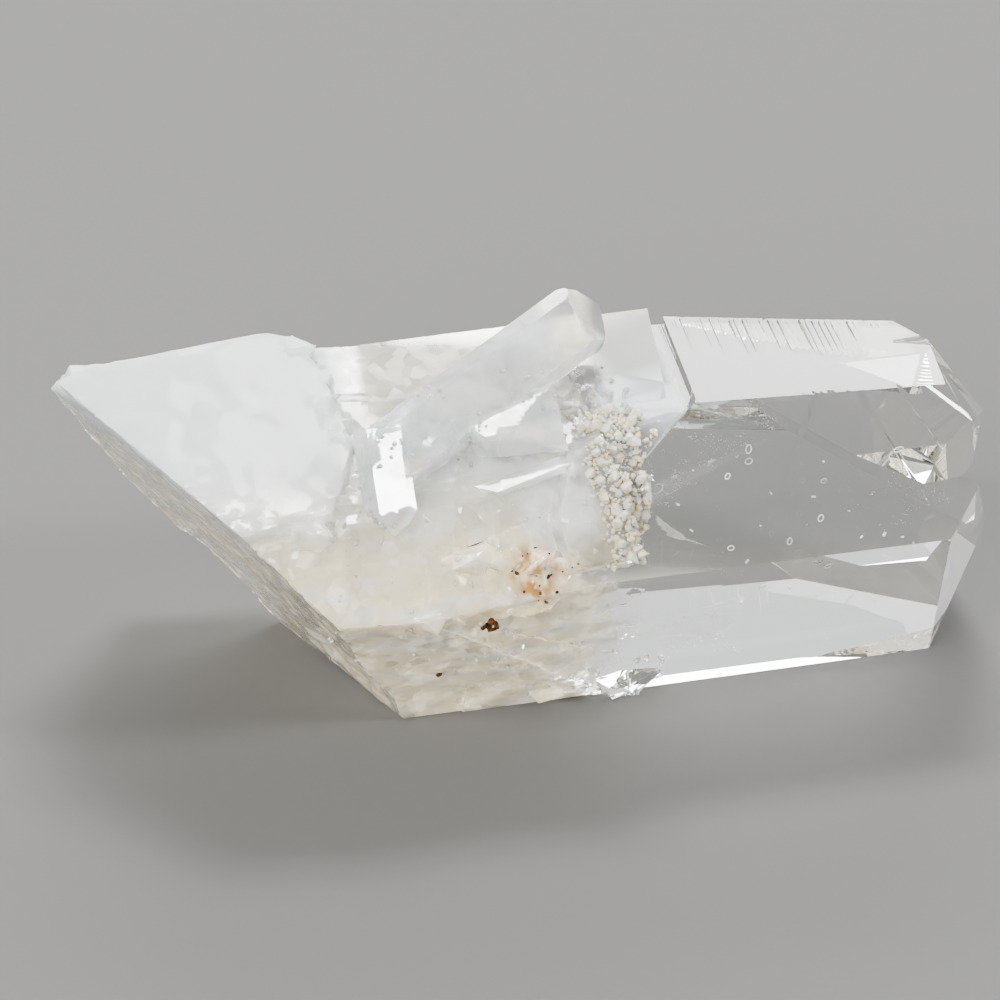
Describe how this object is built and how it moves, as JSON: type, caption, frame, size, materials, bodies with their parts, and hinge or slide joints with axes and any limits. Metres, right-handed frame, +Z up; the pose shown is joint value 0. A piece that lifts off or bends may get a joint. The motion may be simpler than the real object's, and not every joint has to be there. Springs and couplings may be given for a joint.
{
  "type": "quartz cluster",
  "caption": "Clear prismatic quartz crystal grown from a milky, obliquely broken root, with small crystals and a drusy ridge across its upper face; lies on its flat lower prism face.",
  "frame": {"origin": "centre of the bounding box at the level of the face it rests on", "axes": "+X along the main crystal's long axis towards its clear tip, +Z up, -Y towards the side with the small crystals"},
  "size_m": [0.1116, 0.0512, 0.0516],
  "materials": {
    "quartz": "clear at the tip, milky white at the root, with iron-stained spots"
  },
  "bodies": {
    "root": {"quartz_cluster": "quartz"}
  },
  "joints": []
}
